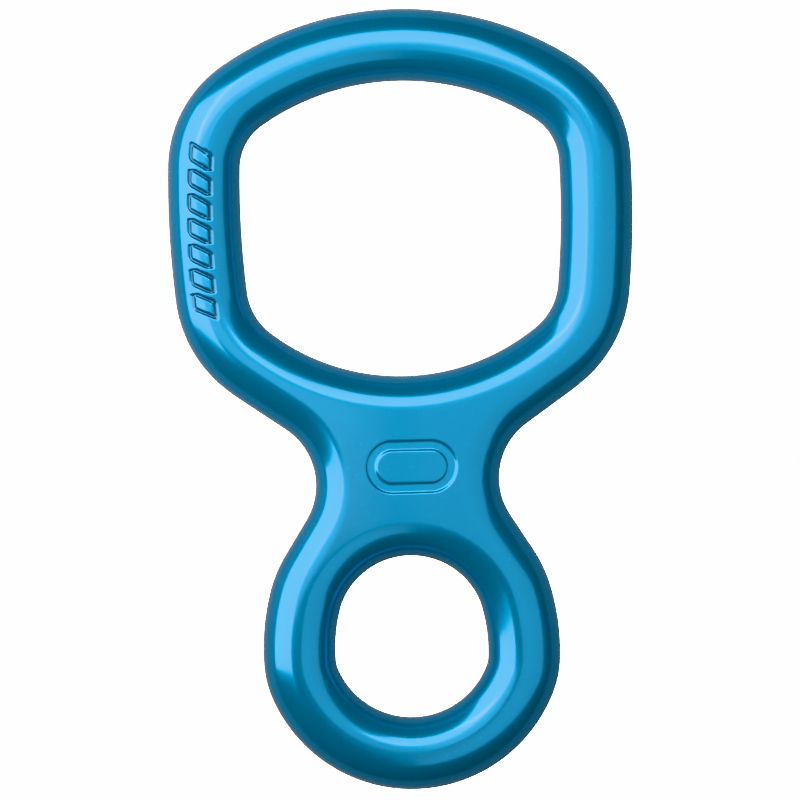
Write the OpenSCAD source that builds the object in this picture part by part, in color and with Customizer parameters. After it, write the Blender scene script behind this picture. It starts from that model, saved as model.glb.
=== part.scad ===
// Figure-eight descender, hot-forged from one piece of aluminium.
// It lies on its back: X across, +Y towards the big rope eye, +Z out of the front face.
// Both eyes are outlined by tangent arcs, a bar of constant width runs round each of them,
// and a flat web with a hollow neck joins the two. The solid is one skin of stations: each
// station is a place on an outline where the rounded edge of the forging is set up.

/* [Bar] */
// Width of the bar round both eyes
bar_w = 11.5; // [9:0.1:16]
// Thickness, from the back face to the front face
thickness = 11.5; // [8:0.1:15]
// Radius of the rounded edges, limited by the bar and by the thickness
edge_r = 5.5; // [1:0.05:8]

/* [Rope eye] */
// Inside width of the rope eye
rope_eye_w = 50.8; // [42:0.1:62]
// Inside length of the rope eye
rope_eye_l = 46.8; // [38:0.1:58]
// Height of the widest place above the bottom of the rope eye
rope_eye_widest = 28.3; // [20:0.1:32]
// Radius of the domed top
rope_crown_r = 39; // [34:0.5:60]
// Radius of the bowed sides
rope_side_r = 140; // [60:1:300]
// Radius of the bottom, where the rope bends over the web
rope_heel_r = 34; // [30:0.5:60]
// Radius of the two upper corners
rope_upper_r = 8.3; // [4:0.1:12]
// Radius of the two lower corners
rope_lower_r = 9.6; // [4:0.1:12]

/* [Karabiner eye] */
// Inside width of the karabiner eye
clip_eye_w = 24.2; // [18:0.1:30]
// Inside length of the karabiner eye
clip_eye_l = 25.6; // [20:0.1:32]
// Height of the widest place above the bottom of the karabiner eye
clip_eye_widest = 10.7; // [8:0.1:14]
// Radius of the round top
clip_crown_r = 11.8; // [11:0.1:16]
// Radius of the bowed sides
clip_side_r = 25; // [20:0.5:80]
// Radius of the bottom
clip_heel_r = 12.7; // [11:0.1:24]
// Radius of the two upper corners
clip_upper_r = 9.7; // [4:0.1:10]
// Radius of the two lower corners
clip_lower_r = 4.5; // [2:0.1:6]

/* [Web and neck] */
// Length of the web between the two eyes
web_l = 28.6; // [24:0.1:36]
// Width of the neck at its narrowest
neck_w = 29.2; // [24:0.1:35]
// Radius of the hollow on each side of the neck, limited by the two rings
neck_r = 10.6; // [6:0.1:12]

/* [Hidden] */

// Least half width of the flat crest between the two rounded edges of the bar
CREST_MIN = 0.2;
// Largest hollow of the neck, as a share of the one that touches both rings
MOST_HOLLOW = 0.98;
// Facets in each quarter of a rounded edge
EDGE_STEPS = 6;
// Largest turn, and longest stretch, between two stations
TURN_STEP = 6;
STRETCH_STEP = 3;

edge = min(edge_r, thickness / 2, bar_w / 2 - CREST_MIN);
// Flat left between the two quarters of the edge, where the forging dies part
land = thickness - 2 * edge;

// Places along Y, from the top of the rope eye to the bottom of the karabiner eye
overall_l = 2 * bar_w + rope_eye_l + web_l + clip_eye_l;
rope_top = overall_l / 2 - bar_w;
rope_bottom = rope_top - rope_eye_l;
clip_top = rope_bottom - web_l;
clip_bottom = clip_top - clip_eye_l;

function polar(r, a) = [r * cos(a), r * sin(a)];
function heading(p, q) = atan2(q[1] - p[1], q[0] - p[0]);

// The point at distance da from a and db from b, on the right of the way from a to b
function meet(a, da, b, db) =
    let (v = b - a, d = norm(v), along = (da ^ 2 - db ^ 2 + d ^ 2) / (2 * d))
    let (off = sqrt(da ^ 2 - along ^ 2))
    a + (along * v + off * [v[1], -v[0]]) / d;

// Right half of an eye: five tangent arcs from the top to the bottom, each
// [centre, radius, first angle, last angle]
function eye_arcs(w, top, bottom, widest, crown_r, side_r, heel_r, upper_r, lower_r) =
    let (crown = [0, top - crown_r], heel = [0, bottom + heel_r])
    let (side = [w / 2 - side_r, bottom + widest])
    let (upper = meet(crown, crown_r - upper_r, side, side_r - upper_r))
    let (lower = meet(side, side_r - lower_r, heel, heel_r - lower_r))
    let (a1 = heading(crown, upper), a2 = heading(side, upper))
    let (a3 = heading(side, lower), a4 = heading(heel, lower))
    [[crown, crown_r, 90, a1], [upper, upper_r, a1, a2], [side, side_r, a2, a3],
     [lower, lower_r, a3, a4], [heel, heel_r, a4, -90]];

rope_arcs = eye_arcs(rope_eye_w, rope_top, rope_bottom, rope_eye_widest, rope_crown_r,
                     rope_side_r, rope_heel_r, rope_upper_r, rope_lower_r);
clip_arcs = eye_arcs(clip_eye_w, clip_top, clip_bottom, clip_eye_widest, clip_crown_r,
                     clip_side_r, clip_heel_r, clip_upper_r, clip_lower_r);
heel = rope_arcs[4];
crown = clip_arcs[0];

// The hollow of the neck is an arc that clears the two rings by the same gap. The centre of any
// such arc lies at gap_base + gap_rise * (its radius + the gap) along Y.
heel_out = heel[1] + bar_w;
crown_out = crown[1] + bar_w;
rings_apart = heel[0][1] - crown[0][1];
gap_base = (heel[0][1] ^ 2 - crown[0][1] ^ 2 - heel_out ^ 2 + crown_out ^ 2) / (2 * rings_apart);
gap_rise = (crown_out - heel_out) / rings_apart;
below_heel = gap_base - heel[0][1];

// Radius of the hollow that would touch both rings, and the radius that is used
touch_rate = heel_out - neck_w / 2 - gap_rise * below_heel;
touch_rest = (neck_w / 2) ^ 2 + below_heel ^ 2 - heel_out ^ 2;
touching_r = touch_rest / (touch_rate + sqrt(touch_rate ^ 2 - gap_rise ^ 2 * touch_rest));
hollow_r = min(neck_r, MOST_HOLLOW * touching_r);

// Radius of the hollow with the gap added, and the hollow's centre
reach_rate = heel_out - gap_rise * below_heel;
reach_rest = (neck_w / 2 + hollow_r) ^ 2 + below_heel ^ 2 - heel_out ^ 2;
reach = (sqrt(reach_rate ^ 2 + (1 - gap_rise ^ 2) * reach_rest) - reach_rate) / (1 - gap_rise ^ 2);
neck = [neck_w / 2 + hollow_r, gap_base + gap_rise * reach];

// A straight tangent leads from the hollow to the outside of each ring. It leaves the hollow at
// this angle, and lands on the arc at the angle across from it.
function leave(arc, side) =
    heading(neck, arc[0])
    + side * acos((hollow_r + arc[1] + bar_w) / norm(arc[0] - neck));
function clear(arc) = norm(arc[0] - neck) > hollow_r + arc[1] + bar_w;
// Number of the arc that it lands on: the heel or the corner above it, the crown or the one below
rope_landing = leave(heel, 1) - 180 <= heel[2] || !clear(rope_arcs[3]) ? 4 : 3;
clip_landing = leave(crown, -1) + 180 >= crown[3] || !clear(clip_arcs[1]) ? 0 : 1;
shoulder_a = leave(rope_arcs[rope_landing], 1);
flank_a = leave(clip_arcs[clip_landing], -1) + 360;
function ended(arc, to) = [arc[0], arc[1], arc[2], to];
function begun(arc, from) = [arc[0], arc[1], from, arc[3]];

// A station is [centre, radius of the edge, angle, way]: way is 1 where the metal lies
// outside the arc and -1 where it lies inside. Its place at a depth below the edge:
function place(s, depth) = s[0] + polar(s[1] + s[3] * depth, s[2]);
function mirrored(s) = [[-s[0][0], s[0][1]], s[1], 180 - s[2], s[3]];
function outside(s) = [s[0], s[1] + bar_w, s[2], -1];

// Number of steps that an arc on the bar or the neck is drawn with
function arc_steps(r, from, to) =
    let (turn = abs(to - from), stretch = turn * PI / 180 * (r + bar_w / 2))
    ceil(max(turn / TURN_STEP, stretch / STRETCH_STEP));
// Stations along an arc, without the last one
function arc_stations(centre, r, from, to, n) =
    [for (i = [0:n - 1]) [centre, r, from + (to - from) * i / n, 1]];
function whole_arc(arc) = arc_stations(arc[0], arc[1], arc[2], arc[3], arc_steps(arc[1], arc[2], arc[3]));

function slice(list, from, to) = [for (i = [from:to]) list[i]];
// Whole loop from its right half, which starts and ends on the Y axis
function closed(half) = concat(half, [for (i = [len(half) - 2:-1:1]) mirrored(half[i])]);

// The hollow's stations above and below the narrowest place. The hidden arc of each ring faces
// them across the web, so it has as many, and one more for the straight side.
upper_steps = arc_steps(hollow_r, shoulder_a, 180);
lower_steps = arc_steps(hollow_r, 180, flank_a);
neck_stations = concat(
    arc_stations(neck, hollow_r, shoulder_a, 180, upper_steps),
    arc_stations(neck, hollow_r, 180, flank_a, lower_steps),
    [[neck, hollow_r, flank_a, 1]]
);

// Stations along one or two arcs, n in all, shared out by how far each arc turns
function shared_stations(arcs, n) =
    let (turns = [for (arc = arcs) abs(arc[2] - arc[3])])
    let (n0 = len(arcs) == 1 ? n : max(1, min(n - 1, round(n * turns[0] / (turns[0] + turns[1])))))
    let (counts = [n0, n - n0])
    [for (i = [0:len(arcs) - 1])
        each arc_stations(arcs[i][0], arcs[i][1], arcs[i][2], arcs[i][3], counts[i])];

// Right halves of the two eyes; their outsides are free down to, and from, the neck
rope_free_arcs = concat(
    [for (i = [0:rope_landing - 1]) rope_arcs[i]],
    [ended(rope_arcs[rope_landing], shoulder_a - 180)]
);
rope_hidden_arcs = concat(
    [begun(rope_arcs[rope_landing], shoulder_a - 180)],
    rope_landing == 4 ? [] : [heel]
);
clip_hidden_arcs = concat(
    clip_landing == 0 ? [] : [crown],
    [ended(clip_arcs[clip_landing], flank_a - 180)]
);
clip_free_arcs = concat(
    [begun(clip_arcs[clip_landing], flank_a - 180)],
    [for (i = [clip_landing + 1:4]) clip_arcs[i]]
);
function last_station(arcs) = [arcs[4][0], arcs[4][1], arcs[4][3], 1];
rope_free = [for (arc = rope_free_arcs) each whole_arc(arc)];
rope_half = concat(rope_free, shared_stations(rope_hidden_arcs, upper_steps + 1), [last_station(rope_arcs)]);
clip_hidden = shared_stations(clip_hidden_arcs, lower_steps + 1);
clip_half = concat(clip_hidden, [for (arc = clip_free_arcs) each whole_arc(arc)], [last_station(clip_arcs)]);

// Numbers of the stations where the neck meets each ring, and of its narrowest place
rope_joint = len(rope_free);
clip_joint = len(clip_hidden);
outer_half = concat(
    [for (s = slice(rope_half, 0, rope_joint)) outside(s)],
    neck_stations,
    [for (s = slice(clip_half, clip_joint, len(clip_half) - 1)) outside(s)]
);
narrowest = rope_joint + 1 + upper_steps;
outer_clip_joint = narrowest + lower_steps + 1;

// Rounded edge from the front crest to the back crest, as [depth below the edge, height]
rim = concat(
    [for (i = [EDGE_STEPS:-1:0]) rim_point(90 * i / EDGE_STEPS, land / 2)],
    [for (i = [land > 0 ? 0 : 1:EDGE_STEPS]) rim_point(-90 * i / EDGE_STEPS, -land / 2)]
);
function rim_point(a, middle) = [edge - edge * cos(a), middle + edge * sin(a)];

loops = [closed(outer_half), closed(rope_half), closed(clip_half)];
OUTER = 0;
ROPE = 1;
CLIP = 2;
loop_start = [0, len(loops[OUTER]), len(loops[OUTER]) + len(loops[ROPE])];

// Number of the point on a loop, at station i (or its mirror image) and step k of the rim
function at(loop, i, k, left = false) =
    let (n = len(loops[loop]), j = left ? (n - i) % n : i % n)
    (loop_start[loop] + j) * len(rim) + k;

// Skin over the rounded edge of one loop; the metal lies inside the outer loop only
function rim_faces(loop) =
    [for (i = [0:len(loops[loop]) - 1], k = [0:len(rim) - 2])
        let (face = [at(loop, i, k), at(loop, i, k + 1), at(loop, i + 1, k + 1), at(loop, i + 1, k)])
        loop == OUTER ? face : reversed(face)];
function reversed(list) = [for (i = [len(list) - 1:-1:0]) list[i]];

// Flat front or back between two rows of points, from a station of an eye and from a station
// of the outer loop. Each row goes on by its own step, 1 or -1.
function flat_faces(loop, from, step, outer_from, outer_step, n, k, left) =
    [for (i = [0:n - 1])
        let (a = from + step * i, b = outer_from + outer_step * i)
        facing([at(loop, a, k, left), at(loop, a + step, k, left),
                at(OUTER, b + outer_step, k, left), at(OUTER, b, k, left)], k, left != (step < 0))];
// A face on the front, or on the back when k isn't 0, turned outwards
function facing(face, k, turned) = (k == 0) != turned ? reversed(face) : face;

// Crests of both rings, the web above and below the narrowest place, and the web's middle
function half_flats(k, left) = concat(
    flat_faces(ROPE, 0, 1, 0, 1, rope_joint, k, left),
    flat_faces(ROPE, rope_joint, 1, rope_joint, 1, upper_steps + 1, k, left),
    flat_faces(CLIP, clip_joint, -1, outer_clip_joint, -1, lower_steps + 1, k, left),
    flat_faces(CLIP, clip_joint, 1, outer_clip_joint, 1, len(clip_half) - 1 - clip_joint, k, left),
    [facing([at(ROPE, len(rope_half) - 1, k, left), at(CLIP, 0, k, left), at(OUTER, narrowest, k, left)],
            k, left)]
);

module body() {
    skin = [for (loop = loops, s = loop, p = rim) let (xy = place(s, p[0])) [xy[0], xy[1], p[1]]];
    flats = [for (k = [0, len(rim) - 1], left = [false, true]) each half_flats(k, left)];
    faces = concat(rim_faces(OUTER), rim_faces(ROPE), rim_faces(CLIP), flats);
    color([0.0, 0.5, 0.74])
        translate([0, 0, thickness / 2])
            polyhedron(skin, faces, convexity = 8);
}

body();
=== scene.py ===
"""Figure-eight descender: one satin anodised forging with two stamped marks, and its studio."""

import cmath
import math

import bmesh
import bpy
import numpy as np
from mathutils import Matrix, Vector
from mathutils.geometry import delaunay_2d_cdt


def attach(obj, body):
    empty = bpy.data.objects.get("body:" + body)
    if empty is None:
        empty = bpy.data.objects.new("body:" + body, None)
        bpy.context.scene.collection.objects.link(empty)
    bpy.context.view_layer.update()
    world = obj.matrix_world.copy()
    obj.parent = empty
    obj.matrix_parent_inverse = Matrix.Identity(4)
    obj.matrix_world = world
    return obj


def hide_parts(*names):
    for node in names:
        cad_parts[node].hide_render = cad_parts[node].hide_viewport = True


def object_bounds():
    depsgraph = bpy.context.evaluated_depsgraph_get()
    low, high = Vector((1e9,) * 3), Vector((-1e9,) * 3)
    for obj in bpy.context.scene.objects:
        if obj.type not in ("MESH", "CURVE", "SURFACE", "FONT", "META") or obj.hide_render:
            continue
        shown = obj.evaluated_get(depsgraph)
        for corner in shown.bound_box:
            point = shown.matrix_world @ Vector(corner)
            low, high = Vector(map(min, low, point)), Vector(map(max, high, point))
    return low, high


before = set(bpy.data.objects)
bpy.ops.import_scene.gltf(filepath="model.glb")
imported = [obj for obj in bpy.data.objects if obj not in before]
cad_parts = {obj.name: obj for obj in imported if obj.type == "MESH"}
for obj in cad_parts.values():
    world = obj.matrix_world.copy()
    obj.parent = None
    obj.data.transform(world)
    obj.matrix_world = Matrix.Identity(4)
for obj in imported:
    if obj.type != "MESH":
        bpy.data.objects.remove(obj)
CAD_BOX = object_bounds()

bl_info = {
    "name": "Figure-Eight Descender",
    "version": (1, 0, 0),
    "blender": (4, 5, 0),
    "location": "3D View > Sidebar > Descender",
    "description": "Builds a forged figure-eight descender and the studio round it",
    "category": "Object",
}

MM = 0.001
FORGING = "body"
MIDDLE = (CAD_BOX[0] + CAD_BOX[1]) / 2
THICKNESS = CAD_BOX[1].z - CAD_BOX[0].z
LENGTH = CAD_BOX[1].y - CAD_BOX[0].y

# How finely the outlines are stepped
TURN = math.radians(3.5)  # largest turn from station to station
STEP = 0.8 * MM  # largest distance from station to station
STAMP_STEP = 0.2 * MM  # the same, beside the stamped strands

# How finely the rounded edge is stepped: closest near the front crest, where the strands are
CREST_BAND = math.radians(62)
UPPER_ANGLES = np.concatenate(
    [np.linspace(0, CREST_BAND, 12, endpoint=False), np.linspace(CREST_BAND, math.pi / 2, 16)]
)
LOWER_ANGLES = -np.linspace(0, math.pi / 2, 17)

# Grids of points on the two flat faces
WEB_MIDDLE = complex(0, MIDDLE.y - 10 * MM)
WEB_GRID = 44 * MM  # width and height of the coarse grid, which takes in the whole web
WEB_STEP = 1.5 * MM
LINK_MIDDLE = complex(0.7 * MM, -10.7 * MM)
LINK_MARGIN = 1.0 * MM  # how much wider and higher than the link the fine grid is
LINK_STEP = 0.17 * MM
CLEARANCE = 0.3 * MM  # least distance from a grid's point to a crest
NEARLY_SAME = 1e-5  # points nearer than this, in millimetres, count as one

# Where and how the marks are stamped
STRANDS_OUTWARD = 0.55 * MM  # from the middle of the bar to the middle of the strands
STRANDS_HEIGHT = 27.2 * MM
STRAND_CORNER = 0.35 * MM
STAMP_WALL = 0.3 * MM  # width of the slope from the skin down into a stamped line
STAMP_REACH = 1.5 * MM  # how far below the front face a stamp still presses
STRAIGHT = 1.0  # bend radius, in metres, of a row that looks straight
STAMPED = "stamped"
# A stamp value below zero is painted shade, which darkens the grooves of the strands' thin lines.
GROOVE_SHADE, PALER = -1.0, 0.6  # what a mark stores in the attribute: below zero is dark, above is pale
STAMP_INPUTS = (
    "Middle X", "Middle Y", "Bend radius", "Pitch", "Last mark", "Mark width", "Mark height",
    "Corner", "Slant", "Line", "Depth", "Wall", "Lowest", "Tint",
)

# Patterns in the skin: size of a blotch, and the two noise levels that it is spread between
CLOUD_SIZE = 9 * MM
CLOUD_LEVELS = (0.3, 0.7)
CLOUD_SHARE = 0.5  # how pale the palest cloud is, between the skin and the pale skin
SPECK_LEVELS = (0.76, 0.79)
GRAIN_LEVELS = (0.25, 0.75)
GRAIN_ROUGHNESS = 0.02  # how far the grain moves the roughness either way
# The groove colour is painted shade, and the strands' thin lines are darkened towards it.
GROOVE_SHADE_SHARE = 0.9  # how near a dark line comes to the groove's colour
RIPPLE_SIZE = 5 * MM
RIPPLE_DEPTH = 0.012 * MM
SEALED_IOR = 1.5

# Studio
WHITE = (1, 1, 1, 1)
GLARE = 6.0  # brightness of the table and the room to the camera, well past white
TABLE_GREY = (0.3, 0.3, 0.3, 1)  # the table as the metal sees it
TABLE_REACH = 3.0  # from the table's middle to its sides, in metres
SENSOR_WIDTH = 36
NEAREST, FARTHEST = 0.01, 20  # what the camera sees, in metres
# Name, setting that gives the brightness, place and size in millimetres, and the way it faces away from
PANELS = (
    ("key_panel", "key", (-280, 110, 210), (400, 380), (-0.8, 0, 0.6)),
    ("back_panel", "key", (-60, 190, 300), (280, 220), (0, 0, 1)),
    ("soft_panel", "soft", (-80, 30, 300), (150, 130), (0, 0, 1)),
    ("fill_panel", "fill", (250, -60, 260), (500, 340), (0, 0, 1)),
)


def length(name, mm, description):
    """A length property, given in millimetres."""
    return bpy.props.FloatProperty(
        name=name, description=description, default=mm * MM, min=0, unit="LENGTH", precision=4
    )


def colour(name, rgb, description):
    """A colour property."""
    return bpy.props.FloatVectorProperty(
        name=name, description=description, default=rgb, size=3, min=0, max=1, subtype="COLOR"
    )


def number(name, value, description):
    """A plain number that can't be negative."""
    return bpy.props.FloatProperty(name=name, description=description, default=value, min=0)


def angle(name, degrees, description):
    """An angle property, given in degrees."""
    return bpy.props.FloatProperty(
        name=name, description=description, default=math.radians(degrees), subtype="ANGLE"
    )


# ---------------------------------------------------------------- settings


class DescenderBarSizes(bpy.types.PropertyGroup):
    """Sizes of the bar, the web and the neck."""

    bar_w: length("Bar width", 11.5, "Width of the bar round both eyes")
    crest: length("Crest", 0.3, "Width of the flat left along the top of the bar")
    web_l: length("Web length", 28.6, "Length of the web between the two eyes")
    neck_w: length("Neck width", 29.2, "Width of the neck at its narrowest")
    neck_r: length("Neck hollow", 10.6, "Radius of the hollow on each side of the neck")


class DescenderRopeEyeSizes(bpy.types.PropertyGroup):
    """Inside sizes of the rope eye."""

    w: length("Width", 50.8, "Inside width")
    l: length("Length", 46.8, "Inside length")
    widest: length("Widest place", 28.3, "Height of the widest place above the bottom")
    crown_r: length("Top radius", 39, "Radius of the domed top")
    side_r: length("Side radius", 140, "Radius of the bowed sides")
    heel_r: length("Bottom radius", 34, "Radius of the bottom, where the rope bends")
    upper_r: length("Upper corner", 8.3, "Radius of the two upper corners")
    lower_r: length("Lower corner", 9.6, "Radius of the two lower corners")


class DescenderClipEyeSizes(bpy.types.PropertyGroup):
    """Inside sizes of the karabiner eye."""

    w: length("Width", 24.2, "Inside width")
    l: length("Length", 25.6, "Inside length")
    widest: length("Widest place", 10.7, "Height of the widest place above the bottom")
    crown_r: length("Top radius", 11.8, "Radius of the round top")
    side_r: length("Side radius", 25, "Radius of the bowed sides")
    heel_r: length("Bottom radius", 12.7, "Radius of the bottom")
    upper_r: length("Upper corner", 9.7, "Radius of the two upper corners")
    lower_r: length("Lower corner", 4.5, "Radius of the two lower corners")


class DescenderMarkSizes(bpy.types.PropertyGroup):
    """Sizes of the two stamped marks: a band of slanted strands, and a plain chain link."""

    strands: bpy.props.IntProperty(
        name="Strands", description="Number of slanted strands on the bar, odd", default=7, min=1
    )
    pitch: length("Strand pitch", 3.9, "Distance from strand to strand along the bar")
    strand_w: length("Strand width", 2.5, "Width of one strand along the bar")
    strand_h: length("Strand height", 3.3, "Height of one strand across the bar")
    slant: number("Slant", 0.55, "Lean of a strand, along the bar for each unit across it")
    strand_line: length("Strand line", 0.5, "Width of the stamped line of a strand")
    link_w: length("Link width", 14.2, "Outside width of the link on the web")
    link_h: length("Link height", 8.2, "Outside height of the link on the web")
    link_line: length("Link line", 1.5, "Width of the stamped line of the link")
    depth: length("Depth", 0.3, "Depth of the stamped lines")


class DescenderFinish(bpy.types.PropertyGroup):
    """Colours and gloss of the anodised skin."""

    skin: colour("Skin", (0.0, 0.195, 0.375), "Colour of the anodised skin")
    pale: colour("Pale skin", (0.0, 0.22, 0.415), "Colour where the skin came out paler")
    # Painted shade: this colour darkens the bottoms of the strands' thin stamped lines, where shade falls.
    groove_shade_colour: colour("Groove", (0.0, 0.05, 0.11), "Colour at the bottom of the thin stamped lines")
    sealed: number("Sealed", 0.75, "Share of the gloss of a fully sealed surface")
    metal: number("Metal", 0.68, "Share of the colour that the bare metal mirrors")
    roughness: number("Roughness", 0.22, "Roughness of the etched metal under the skin")
    gloss: number("Gloss roughness", 0.1, "Roughness of the sealed surface")
    grain: length("Grain", 0.22, "Size of the fine grain")
    speck: length("Speck spacing", 0.7, "Scale of the few pale specks in the skin")
    grain_depth: length("Grain depth", 0.0006, "Depth of the fine grain")


class DescenderStudio(bpy.types.PropertyGroup):
    """Brightness of the panels and the room, and the camera."""

    key: number("Key panels", 4.7, "Brightness of the panels on the left and at the back")
    soft: number("Soft panel", 2.0, "Brightness of the panel between the key and the middle")
    fill: number("Fill panel", 1.3, "Brightness of the panel overhead on the right")
    room: number("Room", 0.06, "Brightness of the room round the table")
    lean: angle("Camera lean", -1.483, "Turn of the camera round its own axis")
    lens: number("Lens", 200.0, "Focal length of the camera, in millimetres")
    width_seen: length("Width seen", 127.06, "Width of the view at the forging's middle")
    aim_x: bpy.props.FloatProperty(
        name="Aim across", description="Where the camera aims", default=-0.86 * MM, unit="LENGTH"
    )
    aim_y: bpy.props.FloatProperty(
        name="Aim along", description="Where the camera aims", default=-0.14 * MM, unit="LENGTH"
    )


SETTINGS = {
    "descender_bar": DescenderBarSizes,
    "descender_rope_eye": DescenderRopeEyeSizes,
    "descender_clip_eye": DescenderClipEyeSizes,
    "descender_marks": DescenderMarkSizes,
    "descender_finish": DescenderFinish,
    "descender_studio": DescenderStudio,
}

# ---------------------------------------------------------------- outline
# Points in the plane are complex numbers. A station is (place on the edge, way into the metal).


def heading(start, end):
    """Direction from one point to another."""
    return cmath.phase(end - start)


def meet(a, to_a, b, to_b):
    """The point at distance to_a from a and to_b from b, on the right of the way from a to b."""
    way = b - a
    apart = abs(way)
    along = (to_a**2 - to_b**2 + apart**2) / (2 * apart)
    off = math.sqrt(to_a**2 - along**2)
    return a + (along - 1j * off) * way / apart


def eye_arcs(eye, top):
    """Right half of an eye: tangent arcs from the top down, each (centre, radius, from, to)."""
    bottom = top - eye.l
    crown = complex(0, top - eye.crown_r)
    heel = complex(0, bottom + eye.heel_r)
    side = complex(eye.w / 2 - eye.side_r, bottom + eye.widest)
    upper = meet(crown, eye.crown_r - eye.upper_r, side, eye.side_r - eye.upper_r)
    lower = meet(side, eye.side_r - eye.lower_r, heel, eye.heel_r - eye.lower_r)
    turns = [
        math.pi / 2, heading(crown, upper), heading(side, upper),
        heading(side, lower), heading(heel, lower), -math.pi / 2,
    ]
    centres = [crown, upper, side, lower, heel]
    radii = [eye.crown_r, eye.upper_r, eye.side_r, eye.lower_r, eye.heel_r]
    return list(zip(centres, radii, turns, turns[1:]))


def sweep(arc, step, outside=0.0, way=1):
    """Stations along an arc, its last one left out; outside moves them to the ring's outer edge."""
    centre, radius, start, end = arc
    reach = radius + outside
    count = max(2, math.ceil(abs(end - start) * reach / step), math.ceil(abs(end - start) / TURN))
    spokes = np.exp(1j * np.linspace(start, end, count, endpoint=False))
    return centre + reach * spokes, way * spokes


def end_of(arc, outside=0.0, way=1):
    """The one station at the end of an arc."""
    centre, radius, _, end = arc
    spoke = np.array([cmath.exp(1j * end)])
    return centre + (radius + outside) * spoke, way * spoke


def straight(start, end, way):
    """Stations along a straight edge, its last one left out."""
    count = max(1, math.ceil(abs(end - start) / STEP))
    return start + (end - start) * np.arange(count) / count, np.full(count, way)


def joined(*runs):
    """Runs of stations, one after the other."""
    return np.concatenate([run[0] for run in runs]), np.concatenate([run[1] for run in runs])


def mirrored(stations):
    """Stations on the other side of the long middle line, backwards, without the two on the line."""
    places, ways = stations
    return -places[-2:0:-1].conj(), -ways[-2:0:-1].conj()


def neck_centre(bar, heel, crown):
    """Centre of the neck's hollow, which clears the two rings by the same gap."""
    heel_out, crown_out = heel[1] + bar.bar_w, crown[1] + bar.bar_w
    low, high = crown[0].imag, heel[0].imag
    base = (high**2 - low**2 - heel_out**2 + crown_out**2) / (2 * (high - low))
    rise = (crown_out - heel_out) / (high - low)
    below = base - high
    x = bar.neck_w / 2 + bar.neck_r
    rate = heel_out - rise * below
    rest = x**2 + below**2 - heel_out**2
    reach = (math.sqrt(rate**2 + (1 - rise**2) * rest) - rate) / (1 - rise**2)
    return complex(x, base + rise * reach)


def half_loops(bar, rope_eye, clip_eye, side_step):
    """Stations of the right halves of the outside and of both eyes, from the top down."""
    rope_top = LENGTH / 2 - bar.bar_w
    rope = eye_arcs(rope_eye, rope_top)
    clip = eye_arcs(clip_eye, rope_top - rope_eye.l - bar.web_l)
    heel, crown = rope[-1], clip[0]
    neck = neck_centre(bar, heel, crown)

    def leave(ring, side):
        """Turn at which the hollow ends and a straight side towards a ring begins."""
        reach = bar.neck_r + ring[1] + bar.bar_w
        return heading(neck, ring[0]) + side * math.acos(reach / abs(ring[0] - neck))

    def side_ends(ring, turn):
        """Both ends of a straight side, at the ring and at the hollow, and its way into the metal."""
        way = cmath.exp(1j * turn)
        return ring[0] + cmath.rect(ring[1] + bar.bar_w, turn - math.pi), neck + bar.neck_r * way, way

    def outer(arc, step=STEP):
        return sweep(arc, step, bar.bar_w, -1)

    shoulder, flank = leave(heel, 1), leave(crown, -1) + math.tau
    heel_edge, hollow_start, shoulder_way = side_ends(heel, shoulder)
    crown_edge, hollow_end, flank_way = side_ends(crown, flank)
    outside = joined(
        outer(rope[0]),
        *[outer(arc, side_step) for arc in rope[1:4]],
        outer((heel[0], heel[1], heel[2], shoulder - math.pi)),
        straight(heel_edge, hollow_start, shoulder_way),
        sweep((neck, bar.neck_r, shoulder, flank), STEP),
        straight(hollow_end, crown_edge, flank_way),
        outer((crown[0], crown[1], flank - math.pi, crown[3])),
        *[outer(arc) for arc in clip[1:]],
        end_of(clip[-1], bar.bar_w, -1),
    )
    rope_steps = [STEP, side_step, side_step, side_step, STEP]
    eye_of_rope = joined(*[sweep(arc, step) for arc, step in zip(rope, rope_steps)], end_of(rope[-1]))
    eye_of_clip = joined(*[sweep(arc, STEP) for arc in clip], end_of(clip[-1]))
    return outside, eye_of_rope, eye_of_clip


def whole_loops(bar, rope_eye, clip_eye):
    """Stations of the three whole loops; the stamped left side of the rope eye has more."""
    rights = half_loops(bar, rope_eye, clip_eye, STEP)
    lefts = half_loops(bar, rope_eye, clip_eye, STAMP_STEP)
    return [joined(right, mirrored(left)) for right, left in zip(rights, lefts)]


# ---------------------------------------------------------------- mesh


def rim_profile(edge):
    """Depth and height of the rounded edge's rings, from the front crest down to the back crest."""
    land = THICKNESS / 2 - edge
    upper, lower = UPPER_ANGLES[::-1], LOWER_ANGLES
    depth = np.concatenate([edge - edge * np.cos(upper), edge - edge * np.cos(lower)])
    height = np.concatenate([land + edge * np.sin(upper), -land + edge * np.sin(lower)])
    return depth, height + MIDDLE.z


def rim_mesh(stations, depth, height, first):
    """Points and quads of the rounded edge along one loop, and the points' numbers by station and ring."""
    places, ways = stations
    flat = places[:, None] + ways[:, None] * depth[None, :]
    points = np.stack([flat.real, flat.imag, np.broadcast_to(height, flat.shape)], axis=-1)
    rows, rings = flat.shape
    number_of = first + np.arange(rows * rings).reshape(rows, rings)
    after = np.roll(number_of, -1, axis=0)
    quads = np.stack(
        [number_of[:, :-1], number_of[:, 1:], after[:, 1:], after[:, :-1]], axis=-1
    ).reshape(-1, 4)
    return points.reshape(-1, 3), quads, number_of


def inside(points, loop):
    """Which points lie inside a closed loop."""
    within = np.zeros(len(points), dtype=bool)
    for a, b in zip(loop, np.roll(loop, -1)):
        crosses = (a.imag > points.imag) != (b.imag > points.imag)
        if crosses.any():
            slope = (b.real - a.real) / (b.imag - a.imag)
            within ^= crosses & (points.real < a.real + slope * (points.imag - a.imag))
    return within


def in_metal(points, crests):
    """Which points lie on the flat between the crest of the outside and those of the eyes."""
    return inside(points, crests[0]) & ~inside(points, crests[1]) & ~inside(points, crests[2])


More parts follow.
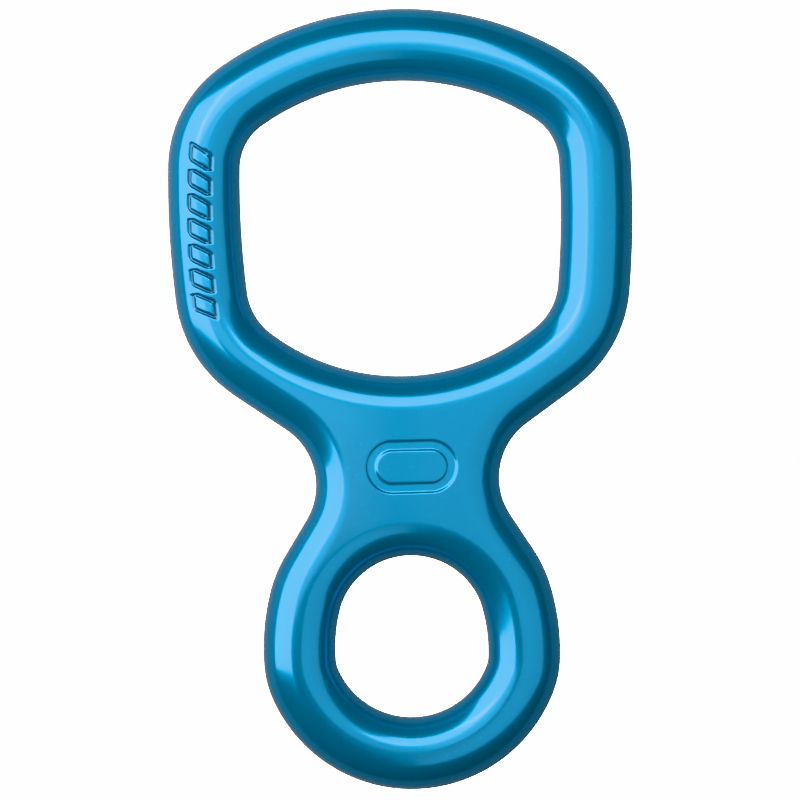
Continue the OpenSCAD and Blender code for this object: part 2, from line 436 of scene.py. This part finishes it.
def grid(middle, width, height, step):
    """Points of a square grid round a middle."""
    xs = np.arange(-width / 2, width / 2 + step / 2, step)
    ys = np.arange(-height / 2, height / 2 + step / 2, step)
    return (middle + xs[None, :] + 1j * ys[:, None]).ravel()


def face_grids(marks):
    """Grid points of the back face, and of the front face, which are fine where the link is."""
    coarse = grid(WEB_MIDDLE, WEB_GRID, WEB_GRID, WEB_STEP)
    link_w, link_h = marks.link_w + LINK_MARGIN, marks.link_h + LINK_MARGIN
    near_link = (np.abs(coarse.real - LINK_MIDDLE.real) < link_w / 2 + CLEARANCE) & (
        np.abs(coarse.imag - LINK_MIDDLE.imag) < link_h / 2 + CLEARANCE
    )
    fine = grid(LINK_MIDDLE, link_w, link_h, LINK_STEP)
    return coarse, np.concatenate([coarse[~near_link], fine])


def crest_edges(crests):
    """Edges along the closed crests, as pairs of places in their joined list of points."""
    edges, start = [], 0
    for crest in crests:
        count = len(crest)
        edges += [(start + i, start + (i + 1) % count) for i in range(count)]
        start += count
    return edges


def flat_faces(crests, numbers, extra, first):
    """Grid points that a flat face keeps, and its triangles; numbers are those of the crests' points."""
    ring = np.concatenate(crests)
    extra = extra[in_metal(extra, crests)]
    clear = [np.abs(ring - point).min() > CLEARANCE for point in extra]
    extra = extra[np.array(clear, dtype=bool)]
    points = np.concatenate([ring, extra])
    names = np.concatenate([*numbers, first + np.arange(len(extra))])
    # Triangulated in millimetres
    scale = 1 / MM
    flat = [Vector((point.real * scale, point.imag * scale)) for point in points]
    out, _, faces, sources, _, _ = delaunay_2d_cdt(flat, crest_edges(crests), [], 0, NEARLY_SAME)
    where = np.array([complex(v.x, v.y) / scale for v in out])
    names_out = np.array([names[source[0]] for source in sources])
    faces = np.array([tuple(face) for face in faces])
    faces = faces[in_metal(where[faces].mean(axis=1), crests)]
    return extra, names_out[faces]


def forging_mesh(scene):
    """The bare forging: three rounded edges, and the flats between their crests."""
    bar = scene.descender_bar
    loops = whole_loops(bar, scene.descender_rope_eye, scene.descender_clip_eye)
    edge = (bar.bar_w - bar.crest) / 2
    depth, height = rim_profile(edge)
    points, faces, numbers, first = [], [], [], 0
    for stations in loops:
        loop_points, quads, number_of = rim_mesh(stations, depth, height, first)
        points.append(loop_points)
        faces += quads.tolist()
        numbers.append(number_of)
        first += len(loop_points)
    crests = [places + ways * edge for places, ways in loops]
    back_grid, front_grid = face_grids(scene.descender_marks)
    for ring, level, extra in ((0, CAD_BOX[1].z, front_grid), (-1, CAD_BOX[0].z, back_grid)):
        added, triangles = flat_faces(crests, [n[:, ring] for n in numbers], extra, first)
        points.append(np.stack([added.real, added.imag, np.full(len(added), level)], axis=-1))
        faces += triangles.tolist()
        first += len(added)
    mesh = bpy.data.meshes.new("forging")
    mesh.from_pydata(np.concatenate(points).tolist(), [], faces)
    shell = bmesh.new()
    shell.from_mesh(mesh)
    bmesh.ops.recalc_face_normals(shell, faces=shell.faces)
    for face in shell.faces:
        face.smooth = True
    shell.to_mesh(mesh)
    shell.free()
    return mesh


# ---------------------------------------------------------------- stamped marks


def math_of(tree, operation, *values):
    """One Math node; values are sockets or numbers."""
    node = tree.nodes.new("ShaderNodeMath")
    node.operation = operation
    for socket, value in zip(node.inputs, values):
        if isinstance(value, bpy.types.NodeSocket):
            tree.links.new(value, socket)
        else:
            socket.default_value = value
    return node.outputs[0]


def to_stamped_line(calc, given, x, y):
    """Distance from a point to the edge of the nearest mark's line, below zero inside the line."""
    # Along and across the row, which bends round a centre on its right
    from_centre = calc("SUBTRACT", calc("ADD", given["Middle X"], given["Bend radius"]), x)
    rise = calc("SUBTRACT", y, given["Middle Y"])
    along = calc("MULTIPLY", calc("ARCTAN2", rise, from_centre), given["Bend radius"])
    reach = calc("SQRT", calc("ADD", calc("POWER", from_centre, 2.0), calc("POWER", rise, 2.0)))
    across = calc("SUBTRACT", reach, given["Bend radius"])
    # The mark that a point belongs to, and the point's place in it
    nearest = calc("ROUND", calc("DIVIDE", along, given["Pitch"]))
    last = given["Last mark"]
    mark = calc("MINIMUM", calc("MAXIMUM", nearest, calc("MULTIPLY", last, -1.0)), last)
    lean = calc("MULTIPLY", across, given["Slant"])
    in_mark = calc("SUBTRACT", calc("SUBTRACT", along, calc("MULTIPLY", mark, given["Pitch"])), lean)

    def past(distance, size):
        """How far past the start of a rounded corner."""
        half = calc("SUBTRACT", calc("MULTIPLY", size, 0.5), given["Corner"])
        return calc("SUBTRACT", calc("ABSOLUTE", distance), half)

    past_w, past_h = past(in_mark, given["Mark width"]), past(across, given["Mark height"])
    out_w, out_h = calc("MAXIMUM", past_w, 0.0), calc("MAXIMUM", past_h, 0.0)
    outwards = calc("SQRT", calc("ADD", calc("POWER", out_w, 2.0), calc("POWER", out_h, 2.0)))
    inwards = calc("MINIMUM", calc("MAXIMUM", past_w, past_h), 0.0)
    to_outline = calc("SUBTRACT", calc("ADD", outwards, inwards), given["Corner"])
    return calc("SUBTRACT", calc("ABSOLUTE", to_outline), calc("MULTIPLY", given["Line"], 0.5))


def stamp_tree():
    """Nodes that stamp a row of rounded outlines along a bent line into a front face."""
    tree = bpy.data.node_groups.new("stamped_row", "GeometryNodeTree")
    new, link = tree.nodes.new, tree.links.new
    tree.interface.new_socket("Geometry", in_out="INPUT", socket_type="NodeSocketGeometry")
    for name in STAMP_INPUTS:
        tree.interface.new_socket(name, in_out="INPUT", socket_type="NodeSocketFloat")
    tree.interface.new_socket("Material", in_out="INPUT", socket_type="NodeSocketMaterial")
    tree.interface.new_socket("Geometry", in_out="OUTPUT", socket_type="NodeSocketGeometry")
    given = new("NodeGroupInput").outputs

    def calc(operation, *values):
        return math_of(tree, operation, *values)

    place = new("ShaderNodeSeparateXYZ")
    link(new("GeometryNodeInputPosition").outputs[0], place.inputs[0])
    x, y, z = place.outputs
    wall = new("ShaderNodeMapRange")
    wall.interpolation_type = "SMOOTHSTEP"
    link(to_stamped_line(calc, given, x, y), wall.inputs["Value"])
    link(calc("MULTIPLY", given["Wall"], -0.5), wall.inputs["From Min"])
    link(calc("MULTIPLY", given["Wall"], 0.5), wall.inputs["From Max"])
    wall.inputs["To Min"].default_value = 1.0
    wall.inputs["To Max"].default_value = 0.0
    front = calc("GREATER_THAN", z, given["Lowest"])
    pressed = calc("MULTIPLY", wall.outputs["Result"], front)
    # What was stamped before stays in the attribute
    before = new("GeometryNodeInputNamedAttribute")
    before.data_type = "FLOAT"
    before.inputs["Name"].default_value = STAMPED
    keep = new("GeometryNodeStoreNamedAttribute")
    keep.data_type, keep.domain = "FLOAT", "POINT"
    keep.inputs["Name"].default_value = STAMPED
    link(given["Geometry"], keep.inputs["Geometry"])
    tint = calc("MULTIPLY", pressed, given["Tint"])
    link(calc("ADD", before.outputs["Attribute"], tint), keep.inputs["Value"])
    # The offset is worked out on the untouched shape
    offset = new("ShaderNodeCombineXYZ")
    link(calc("MULTIPLY", calc("MULTIPLY", pressed, given["Depth"]), -1.0), offset.inputs["Z"])
    hold = new("GeometryNodeCaptureAttribute")
    hold.capture_items.new("VECTOR", "Offset")
    link(keep.outputs["Geometry"], hold.inputs["Geometry"])
    link(offset.outputs[0], hold.inputs["Offset"])
    press = new("GeometryNodeSetPosition")
    link(hold.outputs["Geometry"], press.inputs["Geometry"])
    link(hold.outputs["Offset"], press.inputs["Offset"])
    whole = new("GeometryNodeRealizeInstances")
    link(press.outputs[0], whole.inputs[0])
    paint = new("GeometryNodeSetMaterial")
    link(whole.outputs[0], paint.inputs["Geometry"])
    link(given["Material"], paint.inputs["Material"])
    link(paint.outputs[0], new("NodeGroupOutput").inputs[0])
    return tree


def stamp(piece, tree, name, material, **values):
    """Adds the stamping tree to a piece, with its inputs set by their identifiers."""
    modifier = piece.modifiers.new(name, "NODES")
    modifier.node_group = tree
    for item in tree.interface.items_tree:
        if item.in_out != "INPUT" or item.name == "Geometry":
            continue
        if item.name == "Material":
            modifier[item.identifier] = material
        else:
            modifier[item.identifier] = float(values[item.name.lower().replace(" ", "_")])


def stamp_marks(piece, scene, material):
    """Stamps the band of strands along the left bar and the link into the web."""
    marks, bar, eye = scene.descender_marks, scene.descender_bar, scene.descender_rope_eye
    tree = stamp_tree()
    press = {"wall": STAMP_WALL, "depth": marks.depth, "lowest": CAD_BOX[1].z - STAMP_REACH}
    # The strands' thin lines get painted shade in their grooves, and the link gets a paler floor.
    stamp(
        piece, tree, "strands", material,
        middle_x=-eye.w / 2 - bar.bar_w / 2 - STRANDS_OUTWARD, middle_y=STRANDS_HEIGHT,
        bend_radius=eye.side_r + bar.bar_w / 2, pitch=marks.pitch,
        last_mark=(marks.strands - 1) / 2, mark_width=marks.strand_w, mark_height=marks.strand_h,
        corner=STRAND_CORNER, slant=marks.slant, line=marks.strand_line, tint=GROOVE_SHADE, **press,
    )
    line = marks.link_line
    stamp(
        piece, tree, "link", material, middle_x=LINK_MIDDLE.real, middle_y=LINK_MIDDLE.imag,
        bend_radius=STRAIGHT, pitch=marks.link_w * 2, last_mark=0,
        mark_width=marks.link_h - line, mark_height=marks.link_w - line,
        corner=(marks.link_h - line) / 2, slant=0, line=line, tint=PALER, **press,
    )


# ---------------------------------------------------------------- finish


def noise(nodes, links, coords, size, detail, levels=None):
    """Noise on Object coordinates, spread between two levels; size is the length of one blotch."""
    texture = nodes.new("ShaderNodeTexNoise")
    texture.inputs["Scale"].default_value = 1 / size
    texture.inputs["Detail"].default_value = detail
    links.new(coords, texture.inputs["Vector"])
    if levels is None:
        return texture.outputs["Fac"]
    spread = nodes.new("ShaderNodeMapRange")
    spread.inputs["From Min"].default_value, spread.inputs["From Max"].default_value = levels
    links.new(texture.outputs["Fac"], spread.inputs["Value"])
    return spread.outputs["Result"]


def scaled(nodes, links, value, low, high):
    """A value from 0 to 1, spread between two numbers."""
    spread = nodes.new("ShaderNodeMapRange")
    spread.inputs["To Min"].default_value = low
    spread.inputs["To Max"].default_value = high
    links.new(value, spread.inputs["Value"])
    return spread.outputs["Result"]


def bump(nodes, links, height, depth, below=None):
    """A bump of a given depth, on top of another one if there is one below."""
    node = nodes.new("ShaderNodeBump")
    node.inputs["Strength"].default_value = 1.0
    node.inputs["Distance"].default_value = depth
    links.new(height, node.inputs["Height"])
    if below is not None:
        links.new(below, node.inputs["Normal"])
    return node.outputs["Normal"]


def skin_colour(tree, finish, coords):
    """Cloudy dye with a few pale specks, paler in the link, and with painted shade in the strands' thin
    lines.
    """
    nodes, links = tree.nodes, tree.links
    stamped = nodes.new("ShaderNodeAttribute")
    stamped.attribute_name = STAMPED
    clouds = noise(nodes, links, coords, CLOUD_SIZE, 3, CLOUD_LEVELS)
    specks = noise(nodes, links, coords, finish.speck, 0, SPECK_LEVELS)
    stained = math_of(tree, "ADD", scaled(nodes, links, clouds, 0.0, CLOUD_SHARE), specks)
    pale = math_of(tree, "ADD", stained, stamped.outputs["Fac"])
    pale.node.use_clamp = True
    dye = nodes.new("ShaderNodeMix")
    dye.data_type = "RGBA"
    dye.inputs["A"].default_value = (*finish.skin, 1)
    dye.inputs["B"].default_value = (*finish.pale, 1)
    links.new(pale, dye.inputs["Factor"])
    # Painted shade: the strands' thin lines are darkened towards the groove colour, where shade falls in
    # them.
    groove_shading = nodes.new("ShaderNodeMix")
    groove_shading.data_type = "RGBA"
    groove_shading.inputs["B"].default_value = (*finish.groove_shade_colour, 1)
    links.new(math_of(tree, "MULTIPLY", stamped.outputs["Fac"], -GROOVE_SHADE_SHARE), groove_shading.inputs["Factor"])
    links.new(dye.outputs["Result"], groove_shading.inputs["A"])
    return groove_shading.outputs["Result"]


def anodised(finish):
    """Satin blue anodised skin over etched metal, with fine grain and a faint ripple."""
    material = bpy.data.materials.new("anodised_blue")
    material.use_nodes = True
    nodes, links = material.node_tree.nodes, material.node_tree.links
    shader = nodes["Principled BSDF"].inputs
    coords = nodes.new("ShaderNodeTexCoord").outputs["Object"]
    links.new(skin_colour(material.node_tree, finish, coords), shader["Base Color"])
    grain = noise(nodes, links, coords, finish.grain, 4, GRAIN_LEVELS)
    low, high = finish.roughness - GRAIN_ROUGHNESS, finish.roughness + GRAIN_ROUGHNESS
    links.new(scaled(nodes, links, grain, low, high), shader["Roughness"])
    shader["Metallic"].default_value = finish.metal
    shader["Specular IOR Level"].default_value = 0.0
    shader["Coat Weight"].default_value = finish.sealed
    shader["Coat Roughness"].default_value = finish.gloss
    shader["Coat IOR"].default_value = SEALED_IOR
    ripple = bump(nodes, links, noise(nodes, links, coords, RIPPLE_SIZE, 1), RIPPLE_DEPTH)
    links.new(bump(nodes, links, grain, finish.grain_depth, ripple), shader["Normal"])
    links.new(ripple, shader["Coat Normal"])
    return material


# ---------------------------------------------------------------- studio


def panel(name, brightness, place, size, away):
    """A soft rectangular light that the camera doesn't see; away is the way that its back faces."""
    light = bpy.data.lights.new(name, "AREA")
    light.shape = "RECTANGLE"
    light.size, light.size_y = size[0] * MM, size[1] * MM
    # A flat panel of this power glows with the brightness that is asked for
    light.energy = brightness * math.pi * light.size * light.size_y
    lamp = bpy.data.objects.new(name, light)
    lamp.location = MIDDLE + Vector(place) * MM
    lamp.rotation_mode = "QUATERNION"
    lamp.rotation_quaternion = Vector(away).to_track_quat("Z", "Y")
    lamp.visible_camera = False
    bpy.context.scene.collection.objects.link(lamp)


def seen_or_lit(nodes, links, seen, other, output):
    """Shows one shader to the camera, and another to every other ray."""
    mix = nodes.new("ShaderNodeMixShader")
    links.new(nodes.new("ShaderNodeLightPath").outputs["Is Camera Ray"], mix.inputs[0])
    links.new(other.outputs[0], mix.inputs[1])
    links.new(seen.outputs[0], mix.inputs[2])
    links.new(mix.outputs[0], nodes.new(output).inputs[0])


def studio_world(room):
    """A white room to the camera, and a dim one where the metal mirrors it."""
    world = bpy.data.worlds.new("room")
    world.use_nodes = True
    nodes, links = world.node_tree.nodes, world.node_tree.links
    nodes.clear()
    seen, dim = nodes.new("ShaderNodeBackground"), nodes.new("ShaderNodeBackground")
    for background, strength in ((seen, GLARE), (dim, room)):
        background.inputs["Color"].default_value = WHITE
        background.inputs["Strength"].default_value = strength
    seen_or_lit(nodes, links, seen, dim, "ShaderNodeOutputWorld")
    return world


def table_material():
    """A table that glows white to the camera, and is a matt grey where the metal mirrors it."""
    material = bpy.data.materials.new("white_table")
    material.use_nodes = True
    nodes, links = material.node_tree.nodes, material.node_tree.links
    nodes.clear()
    matt, glow = nodes.new("ShaderNodeBsdfDiffuse"), nodes.new("ShaderNodeEmission")
    matt.inputs["Color"].default_value = TABLE_GREY
    glow.inputs["Strength"].default_value = GLARE
    both = nodes.new("ShaderNodeAddShader")
    links.new(matt.outputs[0], both.inputs[0])
    links.new(glow.outputs[0], both.inputs[1])
    seen_or_lit(nodes, links, both, matt, "ShaderNodeOutputMaterial")
    return material


def table():
    """A flat table under the forging."""
    low, high, level = -TABLE_REACH, TABLE_REACH, CAD_BOX[0].z
    mesh = bpy.data.meshes.new("table")
    corners = [(low, low, level), (high, low, level), (high, high, level), (low, high, level)]
    mesh.from_pydata(corners, [], [(0, 1, 2, 3)])
    mesh.materials.append(table_material())
    return bpy.data.objects.new("table", mesh)


def camera(studio):
    """A long lens straight above the forging."""
    lens = bpy.data.cameras.new("camera")
    lens.sensor_width = SENSOR_WIDTH
    lens.lens = studio.lens
    lens.clip_start, lens.clip_end = NEAREST, FARTHEST
    eye = bpy.data.objects.new("camera", lens)
    distance = studio.width_seen * studio.lens / lens.sensor_width
    eye.location = MIDDLE + Vector((studio.aim_x, studio.aim_y, distance))
    eye.rotation_euler = (0, 0, studio.lean)
    return eye


class DESCENDER_OT_forging(bpy.types.Operator):
    """Build the forging with its stamped marks and its anodised skin"""

    bl_idname = "descender.forging"
    bl_label = "Forging"

    def execute(self, context):
        scene = context.scene
        material = anodised(scene.descender_finish)
        raw = bpy.data.objects.new("raw_forging", forging_mesh(scene))
        scene.collection.objects.link(raw)
        start = raw.data.attributes.new(STAMPED, "FLOAT", "POINT")
        start.data.foreach_set("value", np.zeros(len(raw.data.vertices), dtype=np.float32))
        stamp_marks(raw, scene, material)
        context.view_layer.update()
        shaped = raw.evaluated_get(context.evaluated_depsgraph_get())
        mesh = bpy.data.meshes.new_from_object(shaped)
        mesh.name = "forging"
        bpy.data.objects.remove(raw)
        forging = bpy.data.objects.new("forging", mesh)
        scene.collection.objects.link(forging)
        if len(mesh.materials) != 1 or mesh.materials[0] != material:
            raise RuntimeError("the stamping tree lost the skin")
        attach(forging, "root")
        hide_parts(FORGING)
        return {"FINISHED"}


class DESCENDER_OT_studio(bpy.types.Operator):
    """Build the table, the lights, the room and the camera"""

    bl_idname = "descender.studio"
    bl_label = "Studio"

    def execute(self, context):
        scene, studio = context.scene, context.scene.descender_studio
        floor = table()
        scene.collection.objects.link(floor)
        for name, setting, place, size, away in PANELS:
            panel(name, getattr(studio, setting), place, size, away)
        scene.world = studio_world(studio.room)
        scene.camera = camera(studio)
        scene.collection.objects.link(scene.camera)
        scene.view_settings.view_transform = "Khronos PBR Neutral"
        return {"FINISHED"}


class DESCENDER_PT_panel(bpy.types.Panel):
    """Settings and buttons of the descender"""

    bl_idname = "DESCENDER_PT_panel"
    bl_label = "Descender"
    bl_space_type = "VIEW_3D"
    bl_region_type = "UI"
    bl_category = "Descender"

    def draw(self, context):
        for holder, group in SETTINGS.items():
            box = self.layout.box()
            box.label(text=group.__doc__)
            for name in group.__annotations__:
                box.prop(getattr(context.scene, holder), name)
        for operator in OPERATORS:
            self.layout.operator(operator.bl_idname)


OPERATORS = (DESCENDER_OT_forging, DESCENDER_OT_studio)
CLASSES = (*SETTINGS.values(), *OPERATORS, DESCENDER_PT_panel)


def register():
    """Registers the classes and hangs the settings on the scene."""
    for cls in CLASSES:
        bpy.utils.register_class(cls)
    for holder, group in SETTINGS.items():
        setattr(bpy.types.Scene, holder, bpy.props.PointerProperty(type=group))


def unregister():
    """Takes the settings and the classes away again."""
    for holder in SETTINGS:
        delattr(bpy.types.Scene, holder)
    for cls in reversed(CLASSES):
        bpy.utils.unregister_class(cls)


def main():
    register()
    bpy.ops.descender.forging()
    bpy.ops.descender.studio()


if __name__ == "__main__":
    main()
